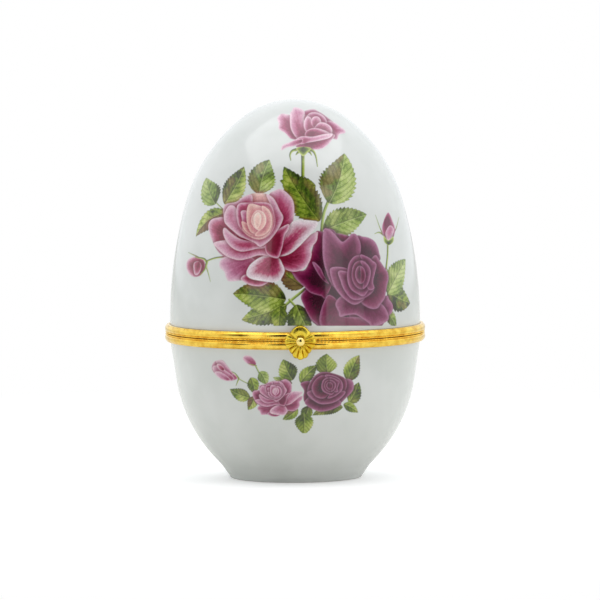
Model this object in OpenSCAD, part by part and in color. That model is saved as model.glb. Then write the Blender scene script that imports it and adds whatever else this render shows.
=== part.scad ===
// Hinged porcelain egg box with brass collars, a three-knuckle hinge and a spring clasp.
// Millimetres, +Z up. The egg stands on z = 0 with its axis on Z.
// The clasp is at the front (-Y), the hinge at the back (+Y).

/* [Egg] */
// Overall height, foot to crown
box_h = 109; // [104:0.5:114]
// Widest diameter of the porcelain
body_d = 72.1; // [70:0.1:74]
// Height of the widest point
widest_z = 45.1; // [44:0.1:48]
// Height of the seam between the two halves
seam_z = 42; // [40:0.5:44]

/* [Lid shell] */
// Radius of the crown
crown_r = 24.2; // [22:0.1:26]
// Angle from the axis at which the crown runs into the shoulder
crown_turn = 36.87; // [33:0.01:40]
// Angle from the axis at which the shoulder runs into the side
shoulder_turn = 73.74; // [72:0.01:76]
// Wall thickness of the lid
lid_wall = 2.4; // [2:0.1:3]

/* [Base shell] */
// Lean of the base's side away from vertical, in degrees
side_lean = 8.6; // [8:0.1:9.5]
// Lean of the heel just above the foot
heel_lean = 43; // [40:0.5:46]
// Radius of the belly between side and heel
belly_r = 42; // [38:0.5:46]
// Radius of the foot where it meets the heel
heel_r = 21.4; // [21:0.1:22]
// Height of the foot
foot_h = 3.6; // [3:0.1:4.2]
// Radius of the foot just above the floor
foot_r = 19.2; // [18.6:0.1:19.8]
// Rounding of the foot's lower edge
foot_round = 0.6; // [0.4:0.1:0.8]
// Depth of the recess under the foot
recess_h = 1.4; // [1:0.1:2]
// Wall thickness of the base
base_wall = 2.8; // [2.4:0.1:3.2]
// Thickness of the floor inside, measured from z = 0
floor_h = 5; // [4.5:0.1:6]

/* [Collars] */
// Outer diameter of both collars
collar_d = 75; // [74.8:0.1:75.6]
// Height of one collar
collar_h = 2.5; // [2.3:0.1:2.8]
// Radius of the collar's convex face
collar_crown_r = 1.6; // [1.5:0.1:2]
// Thickness of the flange over the porcelain's rim
flange_t = 0.65; // [0.5:0.05:0.8]
// Gap between the closed collars
seam_gap = 0.1; // [0.06:0.02:0.2]
// Radial thickness of the plaster bedding
cement_t = 0.5; // [0.4:0.05:0.6]

/* [Hinge] */
// Diameter of the hinge pin
pin_d = 1; // [0.8:0.1:1.2]
// Outer diameter of the knuckles
knuckle_d = 2.6; // [2.4:0.1:2.8]
// Length of the whole barrel
barrel_l = 13; // [11:0.5:16]
// Radial clearance of the pin in the lid's knuckle
pin_fit = 0.05; // [0.03:0.01:0.08]

/* [Clasp] */
// Reach of the flower's side petals from its centre
petal_r = 4.5; // [4:0.1:4.6]
// Extra reach of the lowest petal
petal_drop = 0.7; // [0.5:0.1:1.2]
// Number of petals
petals = 16; // [12:2:20]
// Diameter of the domed boss
boss_d = 2.9; // [2.4:0.1:3.2]
// Thickness of the spring strip
tongue_t = 0.45; // [0.4:0.05:0.5]
// Width of the spring strip
tongue_w = 4.4; // [3.6:0.2:4.8]

/* [Hidden] */
$fn = 96;
fine_fn = 256;   // for the two small pieces that are cut to the collar
eps = 0.01;
body_r = body_d / 2;
collar_r = collar_d / 2;

// Lid meridian: three arcs that run into each other without a break.
// The crown is given. The shoulder and side radii follow from the widest point.
crown_c = [0, box_h - crown_r];
up_1 = [sin(crown_turn), cos(crown_turn)];
up_2 = [sin(shoulder_turn), cos(shoulder_turn)];
row_1 = [up_2[0] - up_1[0], 1 - up_2[0], body_r - up_1[0] * crown_r];
row_2 = [up_2[1] - up_1[1], -up_2[1], widest_z - crown_c[1] - up_1[1] * crown_r];
det = row_1[0] * row_2[1] - row_1[1] * row_2[0];
shoulder_r = (row_1[2] * row_2[1] - row_1[1] * row_2[2]) / det;
side_r = (row_1[0] * row_2[2] - row_1[2] * row_2[0]) / det;
shoulder_c = crown_c + up_1 * (crown_r - shoulder_r);
side_c = shoulder_c + up_2 * (shoulder_r - side_r);

// Base meridian: side line, belly arc, heel line.
base_rim_r = body_r - 0.05;
side_n = [cos(side_lean), -sin(side_lean)];
heel_n = [cos(heel_lean), -sin(heel_lean)];
collar_foot_z = seam_z - collar_h;
side_d = side_n * [base_rim_r, collar_foot_z] - belly_r;
heel_d = heel_n * [heel_r, foot_h] - belly_r;
lap = 0.3;                                      // overlap of neighbouring bands
lean_det = side_n[0] * heel_n[1] - side_n[1] * heel_n[0];
belly_c = [
    (side_d * heel_n[1] - side_n[1] * heel_d) / lean_det,
    (side_n[0] * heel_d - side_d * heel_n[0]) / lean_det
];

// Rims, collars and bedding
half_gap = seam_gap / 2;
rim_drop = half_gap + flange_t + 0.3;           // porcelain rim below or above the seam
neck_r = body_r - 0.35;                         // ground neck inside the collar
leg_r = neck_r + cement_t;                      // inside of the collar's outer leg
flange_r = body_r - 2.75;                       // inside of the flange
neck_h = collar_h - 0.2;                        // how far the neck is ground back
collar_crown_c = collar_r - collar_crown_r;     // centre radius of the convex face
collar_mid = (collar_h + half_gap) / 2;         // height of that centre from the seam

// Width of the flat ring that the box stands on
foot_ring_w = 2.8;

// Hinge
pin_r = pin_d / 2;
knuckle_r = knuckle_d / 2;
hinge_y = collar_r + knuckle_r;
lid_knuckle_l = 4.4;
knuckle_gap = 0.15;
base_knuckle_l = (barrel_l - lid_knuckle_l) / 2 - knuckle_gap;
leaf_t = 0.8;
leaf_gap = 0.2;

// Clasp, stacked outwards from the collar
pad_w = 3.2;
pad_z = [seam_z + 1, seam_z + 1.9];
tongue_back = collar_r + 0.35;
tongue_front = tongue_back + tongue_t;
tongue_z = [seam_z - 3.3, seam_z + 3.6];
lip_h = 0.6;
lip_reach = 0.1;
catch_r = 0.45;
catch_z = seam_z - 1.3;
catch_proud = 0.15;
plate_t = 0.7;
rib_r = [0.35, 0.6];
rivet_r = 0.5;
boss_h = 1.2;

// Part of a disc, right of the axis and between two heights
module disc_band(centre, r, low, high) {
    intersection() {
        translate(centre) circle(r = r);
        translate([0, low]) square([2 * body_r, high - low]);
    }
}

// Height of a joint between two arcs, rounded so that the bands share one exact edge
function joint_z(z) = round(z * 100) / 100;

// Right half of the lid's meridian, pulled in by a wall thickness, above a height
module lid_half(inset, bottom) {
    z_1 = joint_z(crown_c[1] + up_1[1] * (crown_r - inset));
    z_2 = joint_z(shoulder_c[1] + up_2[1] * (shoulder_r - inset));
    disc_band(crown_c, crown_r - inset, z_1, box_h + 1);
    disc_band(shoulder_c, shoulder_r - inset, z_2, z_1);
    disc_band(side_c, side_r - inset, bottom, z_2);
}

// Radius of a leaning line at a height, given its outward normal and distance
function lean_r(n, d, z) = (d - n[1] * z) / n[0];

// Right half of the base's meridian, pulled in, between two heights.
// Neighbouring bands overlap by lap, where one lies a micron inside the other.
module base_half(inset, bottom, top) {
    reach = belly_r - inset;
    z_side = joint_z(belly_c[1] + side_n[1] * reach);
    z_heel = max(joint_z(belly_c[1] + heel_n[1] * reach), bottom);
    side_at = side_n * belly_c + reach;
    heel_at = heel_n * belly_c + reach;
    polygon([[0, z_side - lap], [lean_r(side_n, side_at, z_side - lap), z_side - lap],
        [lean_r(side_n, side_at, top), top], [0, top]]);
    disc_band(belly_c, reach, max(z_heel - lap, bottom), z_side + lap);
    if (z_heel > bottom)
        polygon([[0, bottom], [lean_r(heel_n, heel_at, bottom), bottom],
            [lean_r(heel_n, heel_at, z_heel + lap), z_heel + lap], [0, z_heel + lap]]);
}

// Foot under the heel: a steep cone with a rounded lower edge, flat on z = 0.
// The cone runs on inside the heel, so that the two cross cleanly.
module foot_half() {
    lean = (heel_r - foot_r) / (foot_h - foot_round);
    top = foot_h + 1;
    square([foot_r - foot_round, foot_round]);
    disc_band([foot_r - foot_round, foot_round], foot_round, 0, foot_round);
    polygon([[0, foot_round], [foot_r, foot_round],
        [foot_r + lean * (top - foot_round), top], [0, top]]);
}

// Recess under the foot, a shallow cone
module recess_half() {
    inner = foot_r - foot_round - foot_ring_w;
    polygon([[0, -1], [inner, -1], [inner, 0.3], [inner - 1.2, recess_h], [0, recess_h]]);
}

// Convex outer leg of a collar: side = 1 for the lid, -1 for the base
module collar_leg(side) {
    intersection() {
        translate([collar_crown_c, seam_z + side * collar_mid]) circle(r = collar_crown_r);
        translate([leg_r, seam_z + min(side * half_gap, side * collar_h)])
            square([4, collar_h - half_gap]);
    }
}

// Collar section: the leg, and the flange over the porcelain's rim
module collar_half(side) {
    collar_leg(side);
    translate([flange_r, seam_z + min(side * half_gap, side * (half_gap + flange_t))])
        square([leg_r - flange_r, flange_t]);
}

// Both collars filled in, to cut soldered pieces to their outer faces
module collar_body() {
    for (side = [-1, 1])
        rotate_extrude() {
            collar_leg(side);
            translate([leg_r - 3, seam_z + min(side * half_gap, side * collar_h)])
                square([3, collar_h - half_gap]);
        }
}

// Bedding section: round the neck and under the flange
module cement_half(side) {
    rim = seam_z + side * rim_drop;
    flange = seam_z + side * (half_gap + flange_t);
    neck_end = seam_z + side * neck_h;
    translate([neck_r, min(neck_end, flange)]) square([cement_t, abs(neck_end - flange)]);
    translate([flange_r, min(rim, flange)]) square([neck_r - flange_r, abs(rim - flange)]);
}

// Ring that is ground off the porcelain where the collar sits
module neck_cut(side) {
    end = seam_z + side * neck_h;
    rim = seam_z + side * rim_drop;
    translate([neck_r, min(end, rim - side)]) square([4, abs(end - rim) + 1]);
}

// Cylinder along X, centred
module rod_x(r, l) {
    rotate([0, 90, 0]) cylinder(r = r, h = l, center = true);
}

module base_shell() {
    color([0.86, 0.88, 0.86])
    rotate_extrude()
    difference() {
        union() {
            base_half(0, foot_h - 1, seam_z - rim_drop);
            foot_half();
        }
        base_half(base_wall, floor_h, seam_z);
        neck_cut(-1);
        recess_half();
    }
}

module base_cement() {
    color([0.85, 0.83, 0.76])
    rotate_extrude() cement_half(-1);
}

module base_collar() {
    color([0.85, 0.66, 0.2])
    rotate_extrude() collar_half(-1);
}

module base_hinge_leaf() {
    x_in = lid_knuckle_l / 2 + knuckle_gap;
    color([0.8, 0.62, 0.2])
    difference() {
        union() {
            for (s = [-1, 1]) {
                translate([s * (x_in + base_knuckle_l / 2), hinge_y, seam_z])
                    rod_x(knuckle_r, base_knuckle_l);
                translate([s > 0 ? x_in : -x_in - base_knuckle_l, collar_r - 2, seam_z - 2.2])
                    cube([base_knuckle_l, hinge_y - collar_r + 2, 2.2 - leaf_gap]);
            }
            translate([-barrel_l / 2, collar_r - 2, seam_z - knuckle_r - leaf_gap - leaf_t])
                cube([barrel_l, hinge_y - collar_r + 2, leaf_t]);
        }
        collar_body();
        translate([0, hinge_y, seam_z]) rod_x(pin_r, barrel_l + 1);
    }
}

module hinge_pin() {
    head_r = pin_r + 0.25;
    color([0.75, 0.58, 0.2])
    translate([0, hinge_y, seam_z]) {
        rod_x(pin_r, barrel_l + 0.5);
        for (s = [-1, 1])
            translate([s * (barrel_l / 2 + 0.15), 0, 0]) rod_x(head_r, 0.3);
    }
}

module clasp_catch() {
    color([0.8, 0.62, 0.2])
    difference() {
        translate([0, catch_r - collar_r - catch_proud, catch_z]) rod_x(catch_r, 3);
        collar_body($fn = fine_fn);
    }
}

module lid_shell() {
    color([0.86, 0.88, 0.86])
    rotate_extrude()
    difference() {
        lid_half(0, seam_z + rim_drop);
        lid_half(lid_wall, seam_z);
        neck_cut(1);
    }
}

module lid_cement() {
    color([0.85, 0.83, 0.76])
    rotate_extrude() cement_half(1);
}

module lid_collar() {
    color([0.85, 0.66, 0.2])
    rotate_extrude() collar_half(1);
}

module lid_hinge_leaf() {
    color([0.8, 0.62, 0.2])
    difference() {
        union() {
            translate([0, hinge_y, seam_z]) rod_x(knuckle_r, lid_knuckle_l);
            translate([-lid_knuckle_l / 2, collar_r - 2, seam_z + leaf_gap])
                cube([lid_knuckle_l, hinge_y - collar_r + 2, 2.2 - leaf_gap]);
            translate([-barrel_l / 2, collar_r - 2, seam_z + knuckle_r + leaf_gap])
                cube([barrel_l, hinge_y - collar_r + 2, leaf_t]);
        }
        collar_body();
        translate([0, hinge_y, seam_z]) rod_x(pin_r + pin_fit, barrel_l + 1);
    }
}

module clasp_pad() {
    color([0.8, 0.62, 0.2])
    difference() {
        translate([-pad_w / 2, 0.05 - tongue_back, pad_z[0]])
            cube([pad_w, 1.2, pad_z[1] - pad_z[0]]);
        collar_body($fn = fine_fn);
    }
}

module clasp_tongue() {
    color([0.78, 0.6, 0.22])
    difference() {
        union() {
            translate([-tongue_w / 2, -tongue_front, tongue_z[0]])
                cube([tongue_w, tongue_t, tongue_z[1] - tongue_z[0]]);
            translate([-tongue_w / 2, -tongue_back - eps, tongue_z[0]])
                cube([tongue_w, lip_reach + eps, lip_h]);
        }
        translate([0, 0, seam_z]) rotate([90, 0, 0]) cylinder(r = rivet_r, h = 50);
    }
}

// Reach of the flower's edge at an angle, seen from the front with 90 at the top
function petal_reach(a) = petal_r + petal_drop * pow(max(0, -sin(a)), 3);

module clasp_flower() {
    step = 360 / petals;
    rise = plate_t - 0.15;
    color([0.88, 0.68, 0.18])
    translate([0, -tongue_front, seam_z])
    rotate([90, 0, 0])
    difference() {
        union() {
            linear_extrude(plate_t)
                polygon([for (i = [0:2 * petals - 1])
                    let (a = i * step / 2, r = petal_reach(a) - (i % 2) * 0.35)
                    r * [cos(a), sin(a)]]);
            for (i = [0:petals - 1])
                rotate([0, 0, i * step])
                translate([1, 0, rise])
                rotate([0, 90, 0])
                    intersection() {
                        cylinder(r1 = rib_r[0], r2 = rib_r[1], h = petal_reach(i * step) - 1.3);
                        translate([-2, -2, 0]) cube([2, 4, 10]);
                    }
            cylinder(r = boss_d / 2, h = plate_t + 0.4);
        }
        translate([0, 0, -1]) cylinder(r = rivet_r, h = 5);
    }
}

module clasp_rivet() {
    seat = tongue_front + plate_t + 0.4;
    dome_r = boss_d / 2 - 0.15;
    color([0.92, 0.74, 0.25])
    translate([0, -tongue_back, seam_z])
    rotate([90, 0, 0]) {
        cylinder(r = rivet_r, h = seat - tongue_back + eps);
        translate([0, 0, seat - tongue_back])
            intersection() {
                sphere(r = dome_r);
                cylinder(r = dome_r + 1, h = boss_h);
            }
    }
}

base_shell();
base_cement();
base_collar();
base_hinge_leaf();
hinge_pin();
clasp_catch();
lid_shell();
lid_cement();
lid_collar();
lid_hinge_leaf();
clasp_pad();
clasp_tongue();
clasp_flower();
clasp_rivet();
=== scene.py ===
"""Looks of a hinged porcelain egg box: glaze, gilt collars, flower clasp and rose transfers.

Lengths are in millimetres, but in metres in meshes, materials and lights. Angles are in degrees
where they are given and in radians where they are worked with.
The front of the box (the clasp) faces -Y, the hinge faces +Y, and the foot stands on z = 0.
"""

import math

import bmesh
import bpy
import numpy as np
from mathutils import Matrix, Vector


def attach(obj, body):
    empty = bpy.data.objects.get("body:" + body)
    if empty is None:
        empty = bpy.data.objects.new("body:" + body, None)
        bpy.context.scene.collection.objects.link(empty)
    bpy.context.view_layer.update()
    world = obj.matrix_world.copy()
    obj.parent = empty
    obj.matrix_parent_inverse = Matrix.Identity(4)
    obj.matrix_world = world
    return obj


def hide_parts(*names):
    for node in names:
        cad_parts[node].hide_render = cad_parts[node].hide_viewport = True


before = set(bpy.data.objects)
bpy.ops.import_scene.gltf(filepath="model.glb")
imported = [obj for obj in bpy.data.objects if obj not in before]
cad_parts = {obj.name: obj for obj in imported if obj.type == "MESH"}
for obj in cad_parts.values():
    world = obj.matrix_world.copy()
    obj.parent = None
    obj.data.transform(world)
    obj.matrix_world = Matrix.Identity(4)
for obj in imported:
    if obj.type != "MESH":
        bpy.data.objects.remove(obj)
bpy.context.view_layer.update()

MM = 0.001


# ---------------------------------------------------------------- sizes of the box

BOX_H = 109.0            # crown above the foot
SEAM_Z = 42.0            # joint between the collars
HALF_GAP = 0.05          # half of the gap in the seam
LID_WALL, BASE_WALL = 2.4, 2.8
NECK_R = 35.69           # ground neck inside the collars
NECK_H = 2.3             # height of that neck from the seam
RIM_DROP = 1.0           # porcelain rim from the seam
NECK_STEP, NECK_EDGE = 0.05, 0.02    # width and height of the step where a neck ends
NECK_FILLET = 0.25       # from that step to the start of the outer wall
LEG_R = 36.19            # inside of a collar's outer leg
FLANGE_R = 33.29         # inside of a collar's flange
FLANGE_T = 0.65
COLLAR_H = 2.5
FLOOR_Z = 5.0            # floor inside the bowl
FLOOR_SWEEP = 3.0        # height over which the bowl's wall turns into its floor
FOOT_R, FOOT_ROUND, FOOT_H, HEEL_R = 19.2, 0.6, 3.6, 21.4
FOOT_RING_W = 2.8        # flat ring that the box stands on
RECESS_H = 1.4           # depth of the recess within that ring
SHELL_SEGMENTS = 288     # mesh points round a shell
SHELL_CREASE = 40        # edges of a shell that turn by more degrees stay sharp

# Meridian of the lid: crown, shoulder and side arcs, as (centre r, centre z, radius)
UP_1 = (0.6, 0.8)        # direction in which crown and shoulder meet
UP_2 = (0.96, 0.28)      # direction in which shoulder and side meet
CROWN = (0.0, 84.8, 24.2)
SHOULDER_R, SIDE_R = 45.8, 125.8
SHOULDER = (
    CROWN[0] + UP_1[0] * (CROWN[2] - SHOULDER_R),
    CROWN[1] + UP_1[1] * (CROWN[2] - SHOULDER_R),
    SHOULDER_R,
)
SIDE = (
    SHOULDER[0] + UP_2[0] * (SHOULDER_R - SIDE_R),
    SHOULDER[1] + UP_2[1] * (SHOULDER_R - SIDE_R),
    SIDE_R,
)

# Meridian of the base: side line, belly arc and heel line
SIDE_LEAN, HEEL_LEAN, BELLY_R = math.radians(8.6), math.radians(43.0), 42.0
BASE_RIM = (36.0, SEAM_Z - COLLAR_H)


def belly_centre():
    """Centre of the arc that touches the side line and the heel line."""
    normals = np.array([[math.cos(a), -math.sin(a)] for a in (SIDE_LEAN, HEEL_LEAN)])
    on_lines = np.array([BASE_RIM, (HEEL_R, FOOT_H)])
    return np.linalg.solve(normals, (normals * on_lines).sum(1) - BELLY_R)


BELLY_C = belly_centre()


def lid_radius(z, inset=0.0):
    """Radius of the lid at a height, or of a surface inset below it."""
    z = np.asarray(z, float)
    z_1 = CROWN[1] + UP_1[1] * (CROWN[2] - inset)
    z_2 = SHOULDER[1] + UP_2[1] * (SHOULDER[2] - inset)

    def arc(a):
        return a[0] + np.sqrt(np.maximum((a[2] - inset) ** 2 - (z - a[1]) ** 2, 0))

    return np.where(z >= z_1, arc(CROWN), np.where(z >= z_2, arc(SHOULDER), arc(SIDE)))


def base_radius(z, inset=0.0):
    """Radius of the base at a height above its foot, or of a surface inset below it."""
    z = np.asarray(z, float)
    reach = BELLY_R - inset

    def line(lean):
        n = (math.cos(lean), -math.sin(lean))
        return (n[0] * BELLY_C[0] + n[1] * BELLY_C[1] + reach - n[1] * z) / n[0]

    z_side = BELLY_C[1] - math.sin(SIDE_LEAN) * reach
    z_heel = BELLY_C[1] - math.sin(HEEL_LEAN) * reach
    arc = BELLY_C[0] + np.sqrt(np.maximum(reach**2 - (z - BELLY_C[1]) ** 2, 0))
    return np.where(z >= z_side, line(SIDE_LEAN), np.where(z >= z_heel, arc, line(HEEL_LEAN)))


# ---------------------------------------------------------------- helpers


def smooth(x, low, high):
    """Eases from 0 at low to 1 at high."""
    t = np.clip((x - low) / (high - low), 0, 1)
    return t * t * (3 - 2 * t)


def rgb(hex_code):
    """Linear colour from a display colour such as 'C880A8'."""
    c = np.array([int(hex_code[i : i + 2], 16) for i in (0, 2, 4)]) / 255
    return np.where(c <= 0.04045, c / 12.92, ((c + 0.055) / 1.055) ** 2.4)


def new_piece(name, points, faces, body, material, sharp=None):
    """A mesh piece from points in millimetres, riding on a CAD body."""
    mesh = bpy.data.meshes.new(name)
    mesh.from_pydata((np.asarray(points, float) * MM).tolist(), [], np.asarray(faces).tolist())
    mesh.validate()
    mesh.polygons.foreach_set("use_smooth", [True] * len(mesh.polygons))
    if sharp is not None:
        mesh.set_sharp_from_angle(angle=math.radians(sharp))
    mesh.materials.append(material)
    obj = bpy.data.objects.new(name, mesh)
    bpy.context.scene.collection.objects.link(obj)
    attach(obj, body)
    return obj


def grid_faces(rows, cols, wrap_rows=False):
    """Quads over a grid of points numbered row by row. Each row is a closed ring."""
    r = np.arange(rows if wrap_rows else rows - 1)[:, None]
    c = np.arange(cols)[None, :]
    r_2, c_2 = (r + 1) % rows, (c + 1) % cols
    quads = np.stack(np.broadcast_arrays(r * cols + c, r * cols + c_2,
                                         r_2 * cols + c_2, r_2 * cols + c), -1)
    return quads.reshape(-1, 4)


def lathe(profile, segments, closed=True):
    """Points and quads of a profile of (r, z) turned about Z. The profile runs round once,
    with the solid on its left, so that faces look outwards."""
    profile = np.asarray(profile, float)
    angle = np.arange(segments) * 2 * math.pi / segments
    r, z = profile[:, 0][:, None], profile[:, 1][:, None]
    points = np.stack([r * np.cos(angle), r * np.sin(angle), z + 0 * angle], -1)
    return points.reshape(-1, 3), grid_faces(len(profile), segments, closed)


def close_poles(obj):
    """Joins the points that lie on the axis and drops the faces that they leave empty."""
    near = 1e-6
    bm = bmesh.new()
    bm.from_mesh(obj.data)
    on_axis = [v for v in bm.verts if v.co.xy.length < near]
    bmesh.ops.remove_doubles(bm, verts=on_axis, dist=near)
    bm.to_mesh(obj.data)
    bm.free()


def arc_points(centre, radius, start, end, count):
    """Points on an arc in the (r, z) plane, angles in degrees from +r."""
    a = np.radians(np.linspace(start, end, count))
    return np.stack([centre[0] + radius * np.cos(a), centre[1] + radius * np.sin(a)], -1)


# ---------------------------------------------------------------- materials


class Graph:
    """The nodes of a material or of the world, and the shader that they start with."""

    def __init__(self, owner, shader):
        owner.use_nodes = True
        self.nodes, self.links = owner.node_tree.nodes, owner.node_tree.links
        self.shader = self.nodes[shader]

    def feed(self, node, inputs):
        """Gives inputs, by name or number, a value or another node's output each."""
        for key, source in inputs.items():
            if isinstance(source, bpy.types.NodeSocket):
                self.links.new(source, node.inputs[key])
            else:
                node.inputs[key].default_value = source

    def add(self, kind, output, inputs, **settings):
        """Adds a node and returns one of its outputs."""
        n = self.nodes.new("ShaderNode" + kind)
        for key, value in settings.items():
            setattr(n, key, value)
        self.feed(n, inputs)
        return n.outputs[output]

    def place(self, system="Object"):
        return self.add("TexCoord", system, {})

    def noise(self, scale, detail, roughness):
        """Noise over the places on the object."""
        return self.add("TexNoise", "Fac", {"Vector": self.place(), "Scale": scale,
                                            "Detail": detail, "Roughness": roughness})

    def ramp(self, source, *stops):
        """A colour ramp from two (position, colour) stops; a number is a grey."""
        n = self.nodes.new("ShaderNodeValToRGB")
        n.color_ramp.interpolation = "EASE"
        for element, (position, colour) in zip(n.color_ramp.elements, stops):
            if np.isscalar(colour):
                colour = (colour,) * 3
            element.position = position
            element.color = (*colour, 1)
        self.feed(n, {"Fac": source})
        return n.outputs["Color"]

    def bump(self, height, distance, strength):
        return self.add("Bump", "Normal",
                        {"Height": height, "Distance": distance, "Strength": strength})

    def mix(self, amount, none, full):
        """One shader where the amount is 0, the other where it is 1."""
        return self.add("MixShader", "Shader", {"Fac": amount, 1: none, 2: full})

    def show(self, in_light, seen, output):
        """One shader as the camera sees it, and another in reflections and as a light."""
        eye = self.add("LightPath", "Is Camera Ray", {})
        self.feed(self.nodes[output], {"Surface": self.mix(eye, in_light, seen)})


def new_material(name):
    m = bpy.data.materials.new(name)
    return m, Graph(m, "Principled BSDF")


PORCELAIN = rgb("DDDFDD")
PORCELAIN_SHADE = rgb("D3D6D3")
GLAZE = {"Roughness": 0.16, "IOR": 1.5, "Coat Weight": 0.6, "Coat Roughness": 0.04,
         "Coat IOR": 1.5}


def porcelain_colour(g):
    """The body's own colour: a faint clouding, the same on the shells and under the prints."""
    return g.ramp(g.noise(38.0, 4.0, 0.55), (0.35, PORCELAIN_SHADE), (0.65, PORCELAIN))


def glaze_over(g, colour):
    """Clear gloss glaze: a slow ripple in the surface and a thin hard coat."""
    ripple = g.bump(g.noise(95.0, 2.0, 0.4), 0.00006, 0.35)
    g.feed(g.shader, {"Base Color": colour, "Normal": ripple, **GLAZE})


def make_porcelain():
    m, g = new_material("glazed_porcelain")
    glaze_over(g, porcelain_colour(g))
    return m


def make_biscuit():
    """Bare fired clay where the foot was wiped free of glaze."""
    m, g = new_material("bare_biscuit")
    grain = g.noise(1400.0, 5.0, 0.6)
    g.feed(g.shader, {"Base Color": g.ramp(grain, (0.3, rgb("B9B3A4")), (0.7, rgb("D8D3C6"))),
                      "Normal": g.bump(grain, 0.00008, 0.6), "Roughness": 0.85})
    return m


def make_plaster():
    m, g = new_material("bedding_plaster")
    grain = g.noise(900.0, 4.0, 0.5)
    g.feed(g.shader, {"Base Color": g.ramp(grain, (0.3, rgb("BDB6A2")), (0.7, rgb("DAD4C3"))),
                      "Roughness": 0.9})
    return m


def make_gilt(name, bright, dull, roughness, scratch_scale):
    """Gilt brass: warm colour that dulls in patches, with fine rubbing marks."""
    m, g = new_material(name)
    patch, rub = g.noise(420.0, 5.0, 0.6), g.noise(scratch_scale, 6.0, 0.7)
    g.feed(g.shader, {
        "Base Color": g.ramp(patch, (0.32, rgb(dull)), (0.62, rgb(bright))),
        "Roughness": g.ramp(rub, (0.3, roughness * 0.6), (0.75, roughness * 1.7)),
        "Normal": g.bump(rub, 0.00003, 0.35),
        "Metallic": 1.0,
    })
    return m


def make_print():
    """Transfer colours under the glaze. They are painted on the points of the print, and
    where the cover is thin the porcelain shows through."""
    m, g = new_material("rose_transfer")
    ink = g.add("Attribute", "Color", {}, attribute_name="ink")
    cover = g.add("Attribute", "Fac", {}, attribute_name="cover")
    grain = g.ramp(g.noise(2600.0, 2.0, 0.5), (0.3, 0.9), (0.7, 1.08))
    dotted = g.add("Mix", "Result", {"Factor": 1.0, "A": ink, "B": grain},
                   data_type="RGBA", blend_type="MULTIPLY")
    glaze_over(g, g.add("Mix", "Result", {"Factor": cover, "A": porcelain_colour(g), "B": dotted},
                        data_type="RGBA"))
    return m


porcelain = make_porcelain()
biscuit = make_biscuit()
plaster = make_plaster()
gilt = make_gilt("gilt_brass", "FCD65C", "E6B23C", 0.16, 2200.0)
gilt_cast = make_gilt("gilt_brass_cast", "F0D64E", "D6AE2C", 0.27, 1800.0)
gilt_bright = make_gilt("gilt_brass_bright", "FFE890", "F2D070", 0.08, 2200.0)
gilt_satin = make_gilt("gilt_brass_satin", "EEC860", "CC9C3C", 0.28, 1500.0)
rose_print = make_print()


# ---------------------------------------------------------------- porcelain shells


def make_lid_shell():
    """The upper half, with rows of points that crowd towards the crown."""
    rim, neck_top = SEAM_Z + RIM_DROP, SEAM_Z + NECK_H
    top_in = BOX_H - LID_WALL
    outer_rows, inner_rows = np.linspace(0, 1, 150)[::-1] ** 2, np.linspace(1, 0, 90) ** 2
    z_out = BOX_H - (BOX_H - neck_top - NECK_FILLET) * outer_rows
    outer = np.stack([lid_radius(z_out), z_out], -1)
    z_in = rim + (top_in - rim) * (1 - inner_rows)
    inner = np.stack([lid_radius(z_in, LID_WALL), z_in], -1)[::-1]
    neck = [(NECK_R, rim), (NECK_R, neck_top - NECK_EDGE), (NECK_R + NECK_STEP, neck_top)]
    points, faces = lathe(np.concatenate([neck, outer, inner]), SHELL_SEGMENTS)
    shell = new_piece("lid_porcelain", points, faces, "lid", porcelain,
                      sharp=SHELL_CREASE)
    close_poles(shell)
    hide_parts("lid_shell")


def make_base_shell():
    """The lower half, with its foot ring, the recess under it and the bowl."""
    rim, neck_low = SEAM_Z - RIM_DROP, SEAM_Z - NECK_H
    ring_in, ring_round = FOOT_R - FOOT_ROUND - FOOT_RING_W, 0.2
    under = [(0, RECESS_H), (ring_in - 2.2, RECESS_H), (ring_in - 0.9, RECESS_H - 0.25),
             (ring_in - 0.25, 0.35), (ring_in, 0.05), (ring_in + ring_round, 0)]
    foot_edge = arc_points((FOOT_R - FOOT_ROUND, FOOT_ROUND), FOOT_ROUND, -90, 0, 8)
    slope = [(FOOT_R + 0.7, 1.5), (FOOT_R + 1.45, 2.6)]
    z_belly = np.linspace(FOOT_H, neck_low - NECK_FILLET, 110)
    belly = np.stack([base_radius(z_belly), z_belly], -1)
    neck = [(NECK_R + NECK_STEP, neck_low), (NECK_R, neck_low + NECK_EDGE), (NECK_R, rim)]
    z_in = np.linspace(rim, FLOOR_Z + FLOOR_SWEEP, 70)
    bowl = np.stack([base_radius(z_in, BASE_WALL), z_in], -1)
    r_end = float(base_radius(z_in[-1], BASE_WALL))
    sweep = [(r_end - 1.1, FLOOR_Z + 1.9), (r_end - 2.6, FLOOR_Z + 0.9),
             (r_end - 4.8, FLOOR_Z + 0.25), (r_end - 7.5, FLOOR_Z), (0, FLOOR_Z)]
    profile = np.concatenate([under, foot_edge, slope, belly, neck, bowl, sweep])
    points, faces = lathe(profile, SHELL_SEGMENTS)
    shell = new_piece("base_porcelain", points, faces, "base", porcelain,
                      sharp=SHELL_CREASE)
    shell.data.materials.append(biscuit)
    low, inside, outside = 0.03 * MM, (ring_in - 0.1) * MM, FOOT_R * MM
    for face in shell.data.polygons:
        if face.center.z < low and inside < face.center.xy.length < outside:
            face.material_index = 1
    close_poles(shell)
    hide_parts("base_shell")


make_lid_shell()
make_base_shell()


# ---------------------------------------------------------------- collars

BEADS = 220              # beads in the corded edge of each collar
BEAD_STEPS = 10          # mesh points along one bead
BEAD_ROWS = 9            # mesh points across the corded edge
CORD_R, CORD_LOW, CORD_H = 37.16, 0.09, 0.44     # foot of the corded edge, its start and height
CORD_SWELL, BEAD_SWELL = 0.06, 0.2               # how far the cord and its beads stand out
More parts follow.
